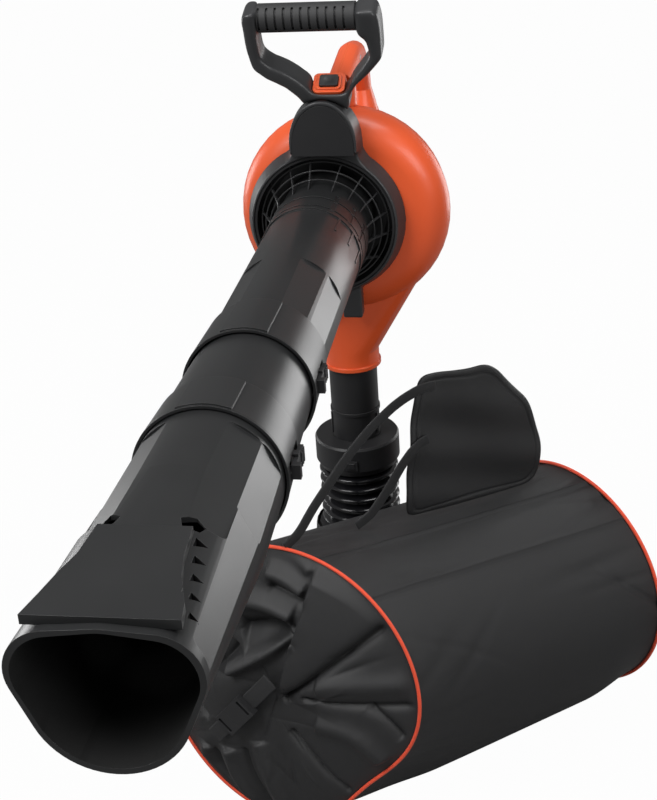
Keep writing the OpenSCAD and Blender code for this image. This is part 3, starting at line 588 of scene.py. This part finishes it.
def sewLine(name, path, normals):  # a row of thread stitches
    pitch, length, thick = (stitchSet[k] for k in ("pitch", "length", "thick"))
    sides, step = stitchSet["sides"], stitchSet["step"]
    path, normals = np.array(path, float), np.array(normals, float)
    lengths = np.linalg.norm(np.diff(path, axis=0), axis=1)
    at = np.concatenate([[0], np.cumsum(lengths)])
    places = np.arange(pitch / 2, at[-1], pitch)
    points, faces = [], []
    for place in places:
        middle = np.array([np.interp(place, at, path[:, k]) for k in range(3)])
        ahead = np.array([np.interp(place + step, at, path[:, k]) for k in range(3)])
        back = np.array([np.interp(place - step, at, path[:, k]) for k in range(3)])
        out = unit([np.interp(place, at, normals[:, k]) for k in range(3)])
        run = unit(ahead - back)
        side = np.cross(run, out)
        start = len(points)
        for along, size in stitchSet["rings"]:
            lift = thick * (stitchSet["raise"] - stitchSet["dip"] * abs(along) ** 2)
            for j in range(sides):
                b = 2 * math.pi * j / sides
                rim = thick * size * (math.cos(b) * side + math.sin(b) * out)
                points.append(middle + run * along * length + out * lift + rim)
        ringCount = len(stitchSet["rings"])
        for face in gridFaces(ringCount, sides, True):
            faces.append(tuple(start + v for v in face))
        faces.append(tuple(start + j for j in range(sides - 1, -1, -1)))
        faces.append(tuple(start + (ringCount - 1) * sides + j for j in range(sides)))
    return addPiece(name, points, faces, "webbing")


bagSet = {
    "rows": 170,
    "around": 300,
    "inset": 0.002,  # cloth inside the piping
    "groundGap": 0.0006,
    "sag": 0.004,
    "seams": (0.036, 0.105, -0.30),  # share of the turn from the top, towards the front
    "seamDepth": 0.0016,
    "seamFold": 0.007,
    "seamGroove": (0.0012, 0.0016, 0.0012),  # depth, offset, width
    "threadInset": 0.0035,
    "wrinkles": 70,
    "wrinkleDepth": (0.0006, 0.0026),
    "wrinkleLength": (0.05, 0.22),
    "wrinkleWidth": (0.004, 0.012),
    "wrinkleSpread": 0.12,  # how far they lie from the rims
    "clothSize": (1.15, 0.47),
    "seed": 11,
}


def bagRings():
    near, far = fitRing("piping_left"), fitRing("piping_right")
    turned = []
    for (centre, normal, radius), way in ((near, -1), (far, 1)):
        turned.append((centre, normal * (way if normal[1] > 0 else -way), radius))
    return turned


def ringFrame(normal):
    across = unit([-normal[1], normal[0], 0.0])
    return across if across[0] > 0 else -across


rimSet = {"tilt": 0.052, "pull": 0.034, "pullAt": 2.3, "pullSpan": 0.55, "tuck": 0.016, "fade": 0.2}


# the near rim leans out at its foot and is drawn in beside it, and the far rim is drawn in below
def rimShift(angle, side, normal, isNear):
    up = np.array([0, 0, 1.0])
    radial = np.sin(angle)[..., None] * side + np.cos(angle)[..., None] * up
    if isNear:
        bend = (angle - rimSet["pullAt"]) / rimSet["pullSpan"]
        lean = rimSet["tilt"] * (1 - np.cos(angle)) / 2
        return normal * lean[..., None] - radial * (rimSet["pull"] * np.exp(-(bend**2)))[..., None]
    low = smoothStep((1 - np.cos(angle)) / 2 - 0.25)
    return -radial * (rimSet["tuck"] * low)[..., None]


def makeBagBody():
    near, far = bagRings()
    rows, around = bagSet["rows"], bagSet["around"]
    rng = random.Random(bagSet["seed"])
    nearSide, farSide = ringFrame(near[1]), ringFrame(far[1])
    ground = cadBox[0].z + bagSet["groundGap"]
    t = np.linspace(0, 1, rows)[:, None, None]
    angle = np.linspace(0, 2 * math.pi, around, endpoint=False)[None, :, None]
    up = np.array([0, 0, 1.0])
    nearRing = near[0] + (near[2] - bagSet["inset"]) * (np.sin(angle) * nearSide + np.cos(angle) * up)
    farRing = far[0] + (far[2] - bagSet["inset"]) * (np.sin(angle) * farSide + np.cos(angle) * up)
    points = nearRing * (1 - t) + farRing * t
    out = np.sin(angle) * (nearSide * (1 - t) + farSide * t) + np.cos(angle) * up
    out /= np.linalg.norm(out, axis=2, keepdims=True)
    push = -bagSet["sag"] * np.sin(math.pi * t[..., 0]) * (0.4 + 0.6 * np.cos(angle[..., 0]))
    u = angle[..., 0] / (2 * math.pi) + 0 * t[..., 0]
    v = t[..., 0] + 0 * u
    for _ in range(bagSet["wrinkles"]):  # soft creases, most of them near the two rims
        end = rng.random() < 0.5
        cu, cv = rng.random(), abs(rng.gauss(0, bagSet["wrinkleSpread"]))
        cv = 1 - cv if end else cv
        lean = rng.gauss(0, 0.5)
        length, width = rng.uniform(*bagSet["wrinkleLength"]), rng.uniform(*bagSet["wrinkleWidth"])
        du = (u - cu + 0.5) % 1 - 0.5
        dv = v - cv
        across = du - lean * dv * 0.25
        depth = rng.uniform(*bagSet["wrinkleDepth"])
        push += -depth * np.exp(-((across / width) ** 2) - (dv / length) ** 2)
    grooveDepth, grooveAt, grooveWidth = bagSet["seamGroove"]
    for seam in bagSet["seams"]:  # folded seams that run from rim to rim
        du = (u - seam + 0.5) % 1 - 0.5
        arc = du * 2 * math.pi * near[2]
        fold = smoothStep((arc + bagSet["seamFold"]) / 0.002) * (1 - smoothStep(arc / 0.0012))
        push += bagSet["seamDepth"] * fold
        push += -grooveDepth * np.exp(-(((arc - grooveAt) / grooveWidth) ** 2))
    points = points + out * push[..., None]
    flatAngle = angle[..., 0] + 0 * t[..., 0]
    keepNear = 1 - smoothStep(t / rimSet["fade"])
    keepFar = 1 - smoothStep((1 - t) / rimSet["fade"])
    points = points + rimShift(flatAngle, nearSide, near[1], True) * keepNear
    points = points + rimShift(flatAngle, farSide, far[1], False) * keepFar
    points[..., 2] = np.maximum(points[..., 2], ground)
    girth, reach = bagSet["clothSize"]
    places = [(i, j) for i in range(rows) for j in range(around)]
    uv = [((j / around) * girth, (i / (rows - 1)) * reach) for i, j in places]
    faces = gridFaces(rows, around, True)
    body = addPiece("bagBody", points.reshape(-1, 3), faces, "bag_fabric", uv=uv)
    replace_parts(body, "bag_body")
    for k, seam in enumerate(bagSet["seams"][:2]):
        beside = bagSet["threadInset"] / (2 * math.pi * near[2]) * around
        j = int(round((seam % 1) * around - beside)) % around
        normals = out[2:-2, j] + 0 * points[2:-2, j]
        sewLine(f"seamThread{k}", points[2:-2, j] + out[0, j] * threadLift, normals)
    return body


foldSet = {  # on the end panel: x towards the right and z up, both as shares of its radius
    "hem": [(0.25, 1.1), (0.23, 0.92), (0.17, 0.62), (0.10, 0.36), (0.03, 0.03)],
    "ridges": [  # line, height, width
        ([(0.01, 1.06), (0.21, 0.93)], 0.010, 0.050),
        ([(-0.13, 0.86), (0.02, 0.85), (0.17, 0.78)], 0.011, 0.055),
        ([(-0.42, 0.60), (-0.16, 0.66), (0.10, 0.60)], 0.012, 0.060),
        ([(-0.40, 0.11), (-0.12, 0.30), (0.12, 0.50)], 0.016, 0.045),
        ([(-0.62, -0.55), (-0.66, -0.72), (-0.54, -0.86)], 0.009, 0.050),
        ([(-0.42, -0.50), (-0.40, -0.68), (-0.24, -0.94)], 0.010, 0.055),
        ([(-0.16, -0.36), (-0.10, -0.62), (0.04, -0.96)], 0.008, 0.060),
        ([(0.30, 0.20), (0.62, 0.24), (1.0, 0.30)], 0.007, 0.070),
        ([(0.30, -0.10), (0.60, -0.12), (0.86, -0.36)], 0.008, 0.070),
    ],
    "valleys": [
        ([(0.03, 0.01), (0.42, 0.36), (0.78, 0.69), (0.93, 0.80)], -0.016, 0.026),
        ([(0.20, 0.08), (0.42, 0.08), (0.67, 0.10), (1.05, 0.15)], -0.010, 0.022),
        ([(0.66, 0.10), (0.80, 0.02), (0.94, -0.12)], -0.009, 0.022),
        ([(-0.30, 0.42), (-0.08, 0.50), (0.12, 0.47)], -0.026, 0.070),
        ([(-0.60, 0.02), (-0.44, 0.14), (-0.30, 0.32)], -0.012, 0.050),
        ([(-0.10, 0.76), (0.18, 0.70)], -0.012, 0.030),
        ([(-0.54, -0.56), (-0.52, -0.72), (-0.40, -0.88)], -0.010, 0.026),
        ([(-0.28, -0.46), (-0.24, -0.66), (-0.10, -0.93)], -0.009, 0.026),
        ([(0.10, -0.20), (0.34, -0.46), (0.62, -0.74)], -0.009, 0.024),
        ([(-0.98, -0.05), (-0.72, -0.22), (-0.58, -0.34)], -0.010, 0.028),
    ],
    "fade": (0.18, 0.25),  # share of a fold's length over which it ends, and what stays at the tip
    "hemStep": (0.014, 0.012, 0.34),  # height, width of the step, and reach behind it
    "hemEnd": 0.2,
    "creases": 28,
    "tied": (-0.1, -0.05),  # the middle that the small creases run out from
    "creaseReach": (0.15, 0.75),
    "creaseLength": (0.08, 0.26),
    "creaseWidth": (0.012, 0.03),
    "creaseDepth": (0.0012, 0.0036),
    "seed": 31,
}


def foldHeight(x, z):
    height = np.zeros(x.shape)
    over, left = foldSet["fade"]
    for line, size, width in foldSet["ridges"] + foldSet["valleys"]:
        d, _, share = lineDistance(x, z, roundPath(line, 2))
        fade = smoothStep(share / over + left) * smoothStep((1 - share) / over + left)
        profile = np.exp(-((d / width) ** 2)) if size > 0 else np.exp(-d / width)
        height += size * profile * fade
    rise, width, behind = foldSet["hemStep"]
    d, sign, share = lineDistance(x, z, roundPath(foldSet["hem"], 2))
    step = smoothStep(0.5 + sign * d / width) * np.exp(-((np.maximum(sign * d, 0) / behind) ** 2))
    height += rise * step * smoothStep((1 - share) / foldSet["hemEnd"])
    rng = random.Random(foldSet["seed"])
    tiedX, tiedZ = foldSet["tied"]
    for _ in range(foldSet["creases"]):  # small creases that run outwards from the tied middle
        a, reach = rng.uniform(0, 2 * math.pi), rng.uniform(*foldSet["creaseReach"])
        cx, cz = tiedX + reach * math.sin(a), tiedZ + reach * math.cos(a)
        turn = a + rng.gauss(0, 0.45)
        along = (x - cx) * math.sin(turn) + (z - cz) * math.cos(turn)
        across = (x - cx) * math.cos(turn) - (z - cz) * math.sin(turn)
        length, width = rng.uniform(*foldSet["creaseLength"]), rng.uniform(*foldSet["creaseWidth"])
        size = rng.choice((-1, -1, 1)) * rng.uniform(*foldSet["creaseDepth"])
        height += size * np.exp(-np.abs(across) / width - (along / length) ** 2)
    return height


capSet = {
    "bagClosure": {"end": "near", "bulge": 0.052, "rings": 150, "around": 360, "folds": True},
    "bagFarEnd": {"end": "far", "bulge": 0.006, "rings": 40, "around": 200, "folds": False},
}
capShape = {"power": 2.4, "droop": 0.28, "held": 0.10, "heart": 0.004}


def makeBagCap(name):  # an end panel of the bag, laid in rings from its rim to its middle
    near, far = bagRings()
    cap = capSet[name]
    isNear = cap["end"] == "near"
    centre, normal, radius = near if isNear else far
    side = ringFrame(normal)
    rings, around = cap["rings"], cap["around"]
    ground = cadBox[0].z + bagSet["groundGap"]
    share = np.linspace(1, capShape["heart"], rings)[:, None]
    a = np.linspace(0, 2 * math.pi, around, endpoint=False)[None, :]
    x, z = np.sin(a) * share, np.cos(a) * share
    dome = cap["bulge"] * (1 - share ** capShape["power"]) * (1 - capShape["droop"] * z)
    if cap["folds"]:
        dome = dome + foldHeight(x, z) * smoothStep((1 - share) / capShape["held"])
    flat = side * x[..., None] + np.array([0, 0, 1.0]) * z[..., None]
    points = centre + flat * (radius - bagSet["inset"]) + normal * dome[..., None]
    points = points + rimShift(a + 0 * share, side, normal, isNear) * (share**2)[..., None]
    points[..., 2] = np.maximum(points[..., 2], ground)
    uv = np.stack([x * radius, z * radius], 2).reshape(-1, 2)
    faces = gridFaces(rings, around, True, flip=isNear)
    last = tuple((rings - 1) * around + j for j in range(around))
    faces.append(last if isNear else last[::-1])
    return addPiece(name, points.reshape(-1, 3), faces, "bag_fabric", uv=[tuple(p) for p in uv])


pipingSet = {
    "steps": 300,
    "sides": 14,
    "thick": 0.0023,
    "groundGap": 0.0035,
    "clothSize": (1.1, 0.02),
}


def makePiping(name, node):
    near, far = bagRings()
    isNear = node == "piping_left"
    centre, normal, radius = near if isNear else far
    side = ringFrame(normal)
    ground = cadBox[0].z + pipingSet["groundGap"]
    points, uv = [], []
    steps, sides, thick = (pipingSet[k] for k in ("steps", "sides", "thick"))
    girth, reach = pipingSet["clothSize"]
    for i in range(steps):
        a = 2 * math.pi * i / steps
        radial = side * math.sin(a) + np.array([0, 0, math.cos(a)])
        middle = centre + radial * radius + rimShift(np.array(a), side, normal, isNear)
        middle[2] = max(middle[2], ground)
        for j in range(sides):
            b = 2 * math.pi * j / sides
            points.append(middle + thick * (math.cos(b) * radial + math.sin(b) * normal))
            uv.append((i / steps * girth, j / sides * reach))
    faces = []
    for i in range(steps):
        for j in range(sides):
            k, m = (i + 1) % steps, (j + 1) % sides
            faces.append((i * sides + j, k * sides + j, k * sides + m, i * sides + m))
    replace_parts(addPiece(name, points, faces, "orange_piping", uv=uv), node)


neckSet = {
    "height": 0.105,
    "flare": 0.006,
    "gathers": 19,
    "depth": 0.0034,
    "rows": 70,
    "around": 300,
    "clearance": 0.0012,
    "tuckFrom": 0.78,  # share of its length below which it closes in
    "tuckSpan": 0.22,
    "tuckDrop": 0.020,
    "bandShare": 0.06,
    "clothSize": (0.37, 0.16),
    "seed": 5,
}


def makeBagNeck():  # the sleeve that is gathered round the hose's cuff and opens into the bag
    low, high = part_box("bag_cuff")
    middle = (low + high) / 2
    cuffRadius = (high.x - low.x) / 2
    rows, around = neckSet["rows"], neckSet["around"]
    rng = random.Random(neckSet["seed"])
    fewest, most = neckSet["gathers"] - 5, neckSet["gathers"] + 6
    phases = [(rng.randint(fewest, most), rng.uniform(0, 6.28)) for _ in range(4)]
    bend, (girth, reach) = neckSet["tuckFrom"], neckSet["clothSize"]
    points, uv = [], []
    for i in range(rows):
        s = i / (rows - 1)
        for j in range(around):
            a = 2 * math.pi * j / around
            wave = sum(math.sin(n * a + p + 0.5 * s) for n, p in phases) / 4
            drop = min(s / bend, 1.0)
            tuck = max(0.0, (s - bend) / neckSet["tuckSpan"])
            gathered = 0.25 + 0.75 * min(1.0, s / neckSet["bandShare"])
            radius = cuffRadius + neckSet["clearance"]
            radius += neckSet["flare"] * math.sin(0.5 * math.pi * drop)
            radius += neckSet["depth"] * wave * (1 - 0.75 * drop) * gathered
            radius *= math.cos(0.5 * math.pi * tuck) ** 0.5
            height = high.z - neckSet["height"] * drop
            height -= neckSet["tuckDrop"] * math.sin(0.5 * math.pi * tuck)
            points.append((middle.x + radius * math.cos(a), middle.y + radius * math.sin(a), height))
            uv.append((j / around * girth, s * reach))
    addPiece("bagNeck", points, gridFaces(rows, around, True, flip=True), "bag_fabric", uv=uv)


padSet = {
    "thick": 0.0065,
    "rings": 46,
    "around": 260,
    "buckle": 0.006,
    "hem": 0.010,
    "hemWidth": 0.0016,
    "hemDepth": 0.42,
    "edge": 0.006,  # width over which it thins to nothing
    "ripple": 0.0016,
    "lift": 0.003,
    "corners": 30,
}


def padAxes():
    near, far = bagRings()
    along = unit([*(far[0] - near[0])[:2], 0.0])
    return along, np.array([along[1], -along[0], 0.0])


def padShare(i):  # ring i's place between the middle and the outline, closer together at the edge
    return 1 - (1 - (i + 0.02) / (padSet["rings"] - 1 + 0.02)) ** 1.35


def makeHarnessPad():  # the stitched foam pad that stands on the bag
    along, out = padAxes()
    points = nodePoints("harness_pad")
    middle = points.mean(0)
    flat = np.stack([(points - middle) @ along, points[:, 2] - middle[2]], 1)
    outline = flat[np.argsort(np.arctan2(flat[:, 1] - 0.01, flat[:, 0]))]
    keep = [outline[0]]
    for p in outline[1:]:
        if np.linalg.norm(p - keep[-1]) > 0.002:
            keep.append(p)
    outline = roundPath(evenPath(keep, padSet["corners"], True), 3, True)
    outline = evenPath(outline, padSet["around"], True)
    heart = outline.mean(0)
    rings, around = padSet["rings"], padSet["around"]
    low, high = outline[:, 1].min(), outline[:, 1].max()
    layers, uv = [], []
    for face in (1, -1):
        for i in range(rings):
            ring = heart + (outline - heart) * padShare(i)
            edge = np.linalg.norm(outline - ring, axis=1)
            inward = np.clip(edge / padSet["edge"], 0, 1)
            plump = padSet["thick"] / 2 * np.sqrt(np.clip(1 - (1 - inward) ** 2, 0, 1))
            groove = np.exp(-(((edge - padSet["hem"]) / padSet["hemWidth"]) ** 2))
            plump *= 1 - padSet["hemDepth"] * groove * face
            rise = (ring[:, 1] - low) / (high - low)
            short = np.sin(ring[:, 0] / 0.021 + 1.4 * ring[:, 1] / 0.05)
            broad = np.sin(ring[:, 0] / 0.047 + 0.6)
            wave = padSet["buckle"] * rise * (short * 0.55 + 0.8 * broad)
            wave += padSet["ripple"] * np.sin(ring[:, 1] / 0.011 + ring[:, 0] / 0.03)
            lift = padSet["lift"] * rise**2 * np.sin(ring[:, 0] / 0.020 + 0.4)
            place = middle + ring[:, :1] * along + out * (wave + face * plump)[:, None]
            place[:, 2] = middle[2] + ring[:, 1] + lift
            layers.append(place)
            uv.extend([(p[0], p[1]) for p in ring])
    everything = np.concatenate(layers)
    faces = gridFaces(rings, around, True)
    shift = rings * around
    faces += [tuple(v + shift for v in f[::-1]) for f in gridFaces(rings, around, True)]
    for j in range(around):
        k = (j + 1) % around
        last = (rings - 1) * around
        faces.append((last + j, last + k, shift + last + k, shift + last + j))
    faces.append(tuple(range(around))[::-1])
    faces.append(tuple(shift + j for j in range(around)))
    pad = addPiece("harnessPad", everything, faces, "bag_fabric", uv=uv)
    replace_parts(pad, "harness_pad")
    spread = outline - heart
    gaps = [np.linalg.norm(spread - spread * padShare(i), axis=1).mean() for i in range(rings)]
    sewn = layers[next(i for i in range(rings) if gaps[i] < padSet["hem"])]
    sewPath = np.vstack([sewn, sewn[:1]]) + out * threadLift
    sewLine("padThread", sewPath, np.tile(out, (around + 1, 1)))
    return pad


def nodeLine(name, direction, count):  # centres of cuts across a CAD node
    base = bmesh.new()
    base.from_mesh(nodes[name].data)
    heights = np.array([v.co for v in base.verts], float) @ direction
    centres = []
    for h in np.linspace(heights.min() + 0.002, heights.max() - 0.002, count):
        cut = base.copy()
        everything = cut.verts[:] + cut.edges[:] + cut.faces[:]
        made = bmesh.ops.bisect_plane(
            cut, geom=everything, plane_co=tuple(direction * h), plane_no=tuple(direction)
        )
        spots = [np.array(g.co) for g in made["geom_cut"] if isinstance(g, bmesh.types.BMVert)]
        if spots:
            centres.append((np.max(spots, axis=0) + np.min(spots, axis=0)) / 2)
        cut.free()
    base.free()
    return np.array(centres)


strapSet = {"width": 0.0135, "thick": 0.0034, "cuts": 26, "sewn": 0.012, "taut": 0.3}
bandSet = {  # for every flat band; beads and threads as shares of its half width and its width
    "steps": 110,
    "around": 40,
    "beadAt": 0.70,
    "beadWidth": 0.06,
    "beadDepth": 0.22,
    "threadAt": 0.35,
    "threadHeight": 0.40,
}


def makeBand(name, node, path, out, width, thick, body="blower", threads=True):
    steps, around = bandSet["steps"], bandSet["around"]
    path = evenPath(roundPath(path, 3), steps)
    profile = []  # a flat band with soft edges and low bead lines
    for k in range(around):
        a = 2 * math.pi * k / around
        x = math.copysign(abs(math.cos(a)) ** 0.35, math.cos(a))
        y = math.copysign(abs(math.sin(a)) ** 0.8, math.sin(a))
        bead = (abs(x) - bandSet["beadAt"]) / bandSet["beadWidth"]
        y *= 1 - bandSet["beadDepth"] * math.exp(-(bead**2))
        profile.append((x * width / 2, y * thick / 2))
    points, uv, lines = [], [], {1: [], -1: []}
    faceOut = []
    travel = 0.0
    for i in range(steps):
        run = unit(path[min(i + 1, steps - 1)] - path[max(i - 1, 0)])
        across = unit(np.cross(out, run))
        face = np.cross(run, across)
        if i:
            travel += np.linalg.norm(path[i] - path[i - 1])
        for x, y in profile:
            points.append(path[i] + across * x + face * y)
            uv.append((x, travel + y))
        for s in (1, -1):
            lift = face * (thick * bandSet["threadHeight"])
            lines[s].append(path[i] + across * s * bandSet["threadAt"] * width + lift)
        faceOut.append(face)
    faces = gridFaces(steps, around, True)
    faces.append(tuple(range(around))[::-1])
    faces.append(tuple((steps - 1) * around + j for j in range(around)))
    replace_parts(addPiece(name, points, faces, "webbing", body=body, uv=uv), node)
    if threads:
        for s in (1, -1):
            sewLine(f"{name}Thread{'A' if s > 0 else 'B'}", lines[s], faceOut)


def makeStraps():
    along, out = padAxes()
    for name, node in (("strapLeft", "strap_left"), ("strapRight", "strap_right")):
        path = nodeLine(node, along, strapSet["cuts"])
        low, beside = (path[0], path[1]) if path[0][2] < path[-1][2] else (path[-1], path[-2])
        sewn = low + unit(low - beside) * strapSet["sewn"]
        path = np.vstack([sewn, path]) if path[0][2] < path[-1][2] else np.vstack([path, sewn])
        chord = path[0] + np.linspace(0, 1, len(path))[:, None] * (path[-1] - path[0])
        path = path * (1 - strapSet["taut"]) + chord * strapSet["taut"]
        makeBand(name, node, path, out, strapSet["width"], strapSet["thick"])


def makeWebs():  # short webbing on the two halves of the buckle
    webs = (("closureWeb", "closure_strap", "blower"), ("plugWeb", "plug_strap", "buckle_plug"))
    for name, node, body in webs:
        points = nodePoints(node)
        middle = points.mean(0)
        axes = np.linalg.svd(points - middle, full_matrices=False)[2]
        spans = [np.abs((points - middle) @ axis).max() for axis in axes]
        run, across, face = axes
        if spans[1] > spans[0]:
            run, across = across, run
            spans[0], spans[1] = spans[1], spans[0]
        t = np.linspace(-1, 1, 12)[:, None]
        path = middle + run * t * spans[0]
        out = face if face[1] < 0 else -face
        makeBand(name, node, path, out, 2 * spans[1], 2 * spans[2], body=body, threads=False)


roundedSet = {  # CAD node, voxel size, rounds of smoothing
    "handleFrame": ("handle_frame", 0.0014, 110),
    "intakeBracket": ("intake_bracket", 0.0013, 8),
}


def roundNodes():  # moulded pieces whose corners are well rounded
    for name, (node, voxel, rounds) in roundedSet.items():
        source = nodes[node]
        copy = bpy.data.objects.new(name + "Source", source.data.copy())
        bpy.context.scene.collection.objects.link(copy)
        remesh = copy.modifiers.new("voxels", "REMESH")
        remesh.mode, remesh.voxel_size = "VOXEL", voxel
        smooth = copy.modifiers.new("rounding", "SMOOTH")
        smooth.factor, smooth.iterations = 0.5, rounds
        graph = bpy.context.evaluated_depsgraph_get()
        mesh = bpy.data.meshes.new_from_object(copy.evaluated_get(graph))
        mesh.name = name
        bpy.data.objects.remove(copy)
        mesh.polygons.foreach_set("use_smooth", [True] * len(mesh.polygons))
        slot = source.data.materials[0].name.split(".")[0]
        mesh.materials.clear()
        mesh.materials.append(materials[slot])
        piece = bpy.data.objects.new(name, mesh)
        bpy.context.scene.collection.objects.link(piece)
        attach(piece, "blower")
        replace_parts(piece, node)


makeCamera()
makeLights()
makeWorld()
makeFloor()
dressNodes()
print("frame dressed")
roundNodes()
print("moulded pieces rounded")
bagBody = makeBagBody()
bagClosure = makeBagCap("bagClosure")
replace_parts(bagClosure, "bag_end")
makeBagCap("bagFarEnd")
makeBagNeck()
makePiping("pipingNear", "piping_left")
makePiping("pipingFar", "piping_right")
harnessPad = makeHarnessPad()
print("bag and pad made")
makeStraps()
makeWebs()
print("straps made")

bpy.context.scene.view_settings.view_transform = "Standard"
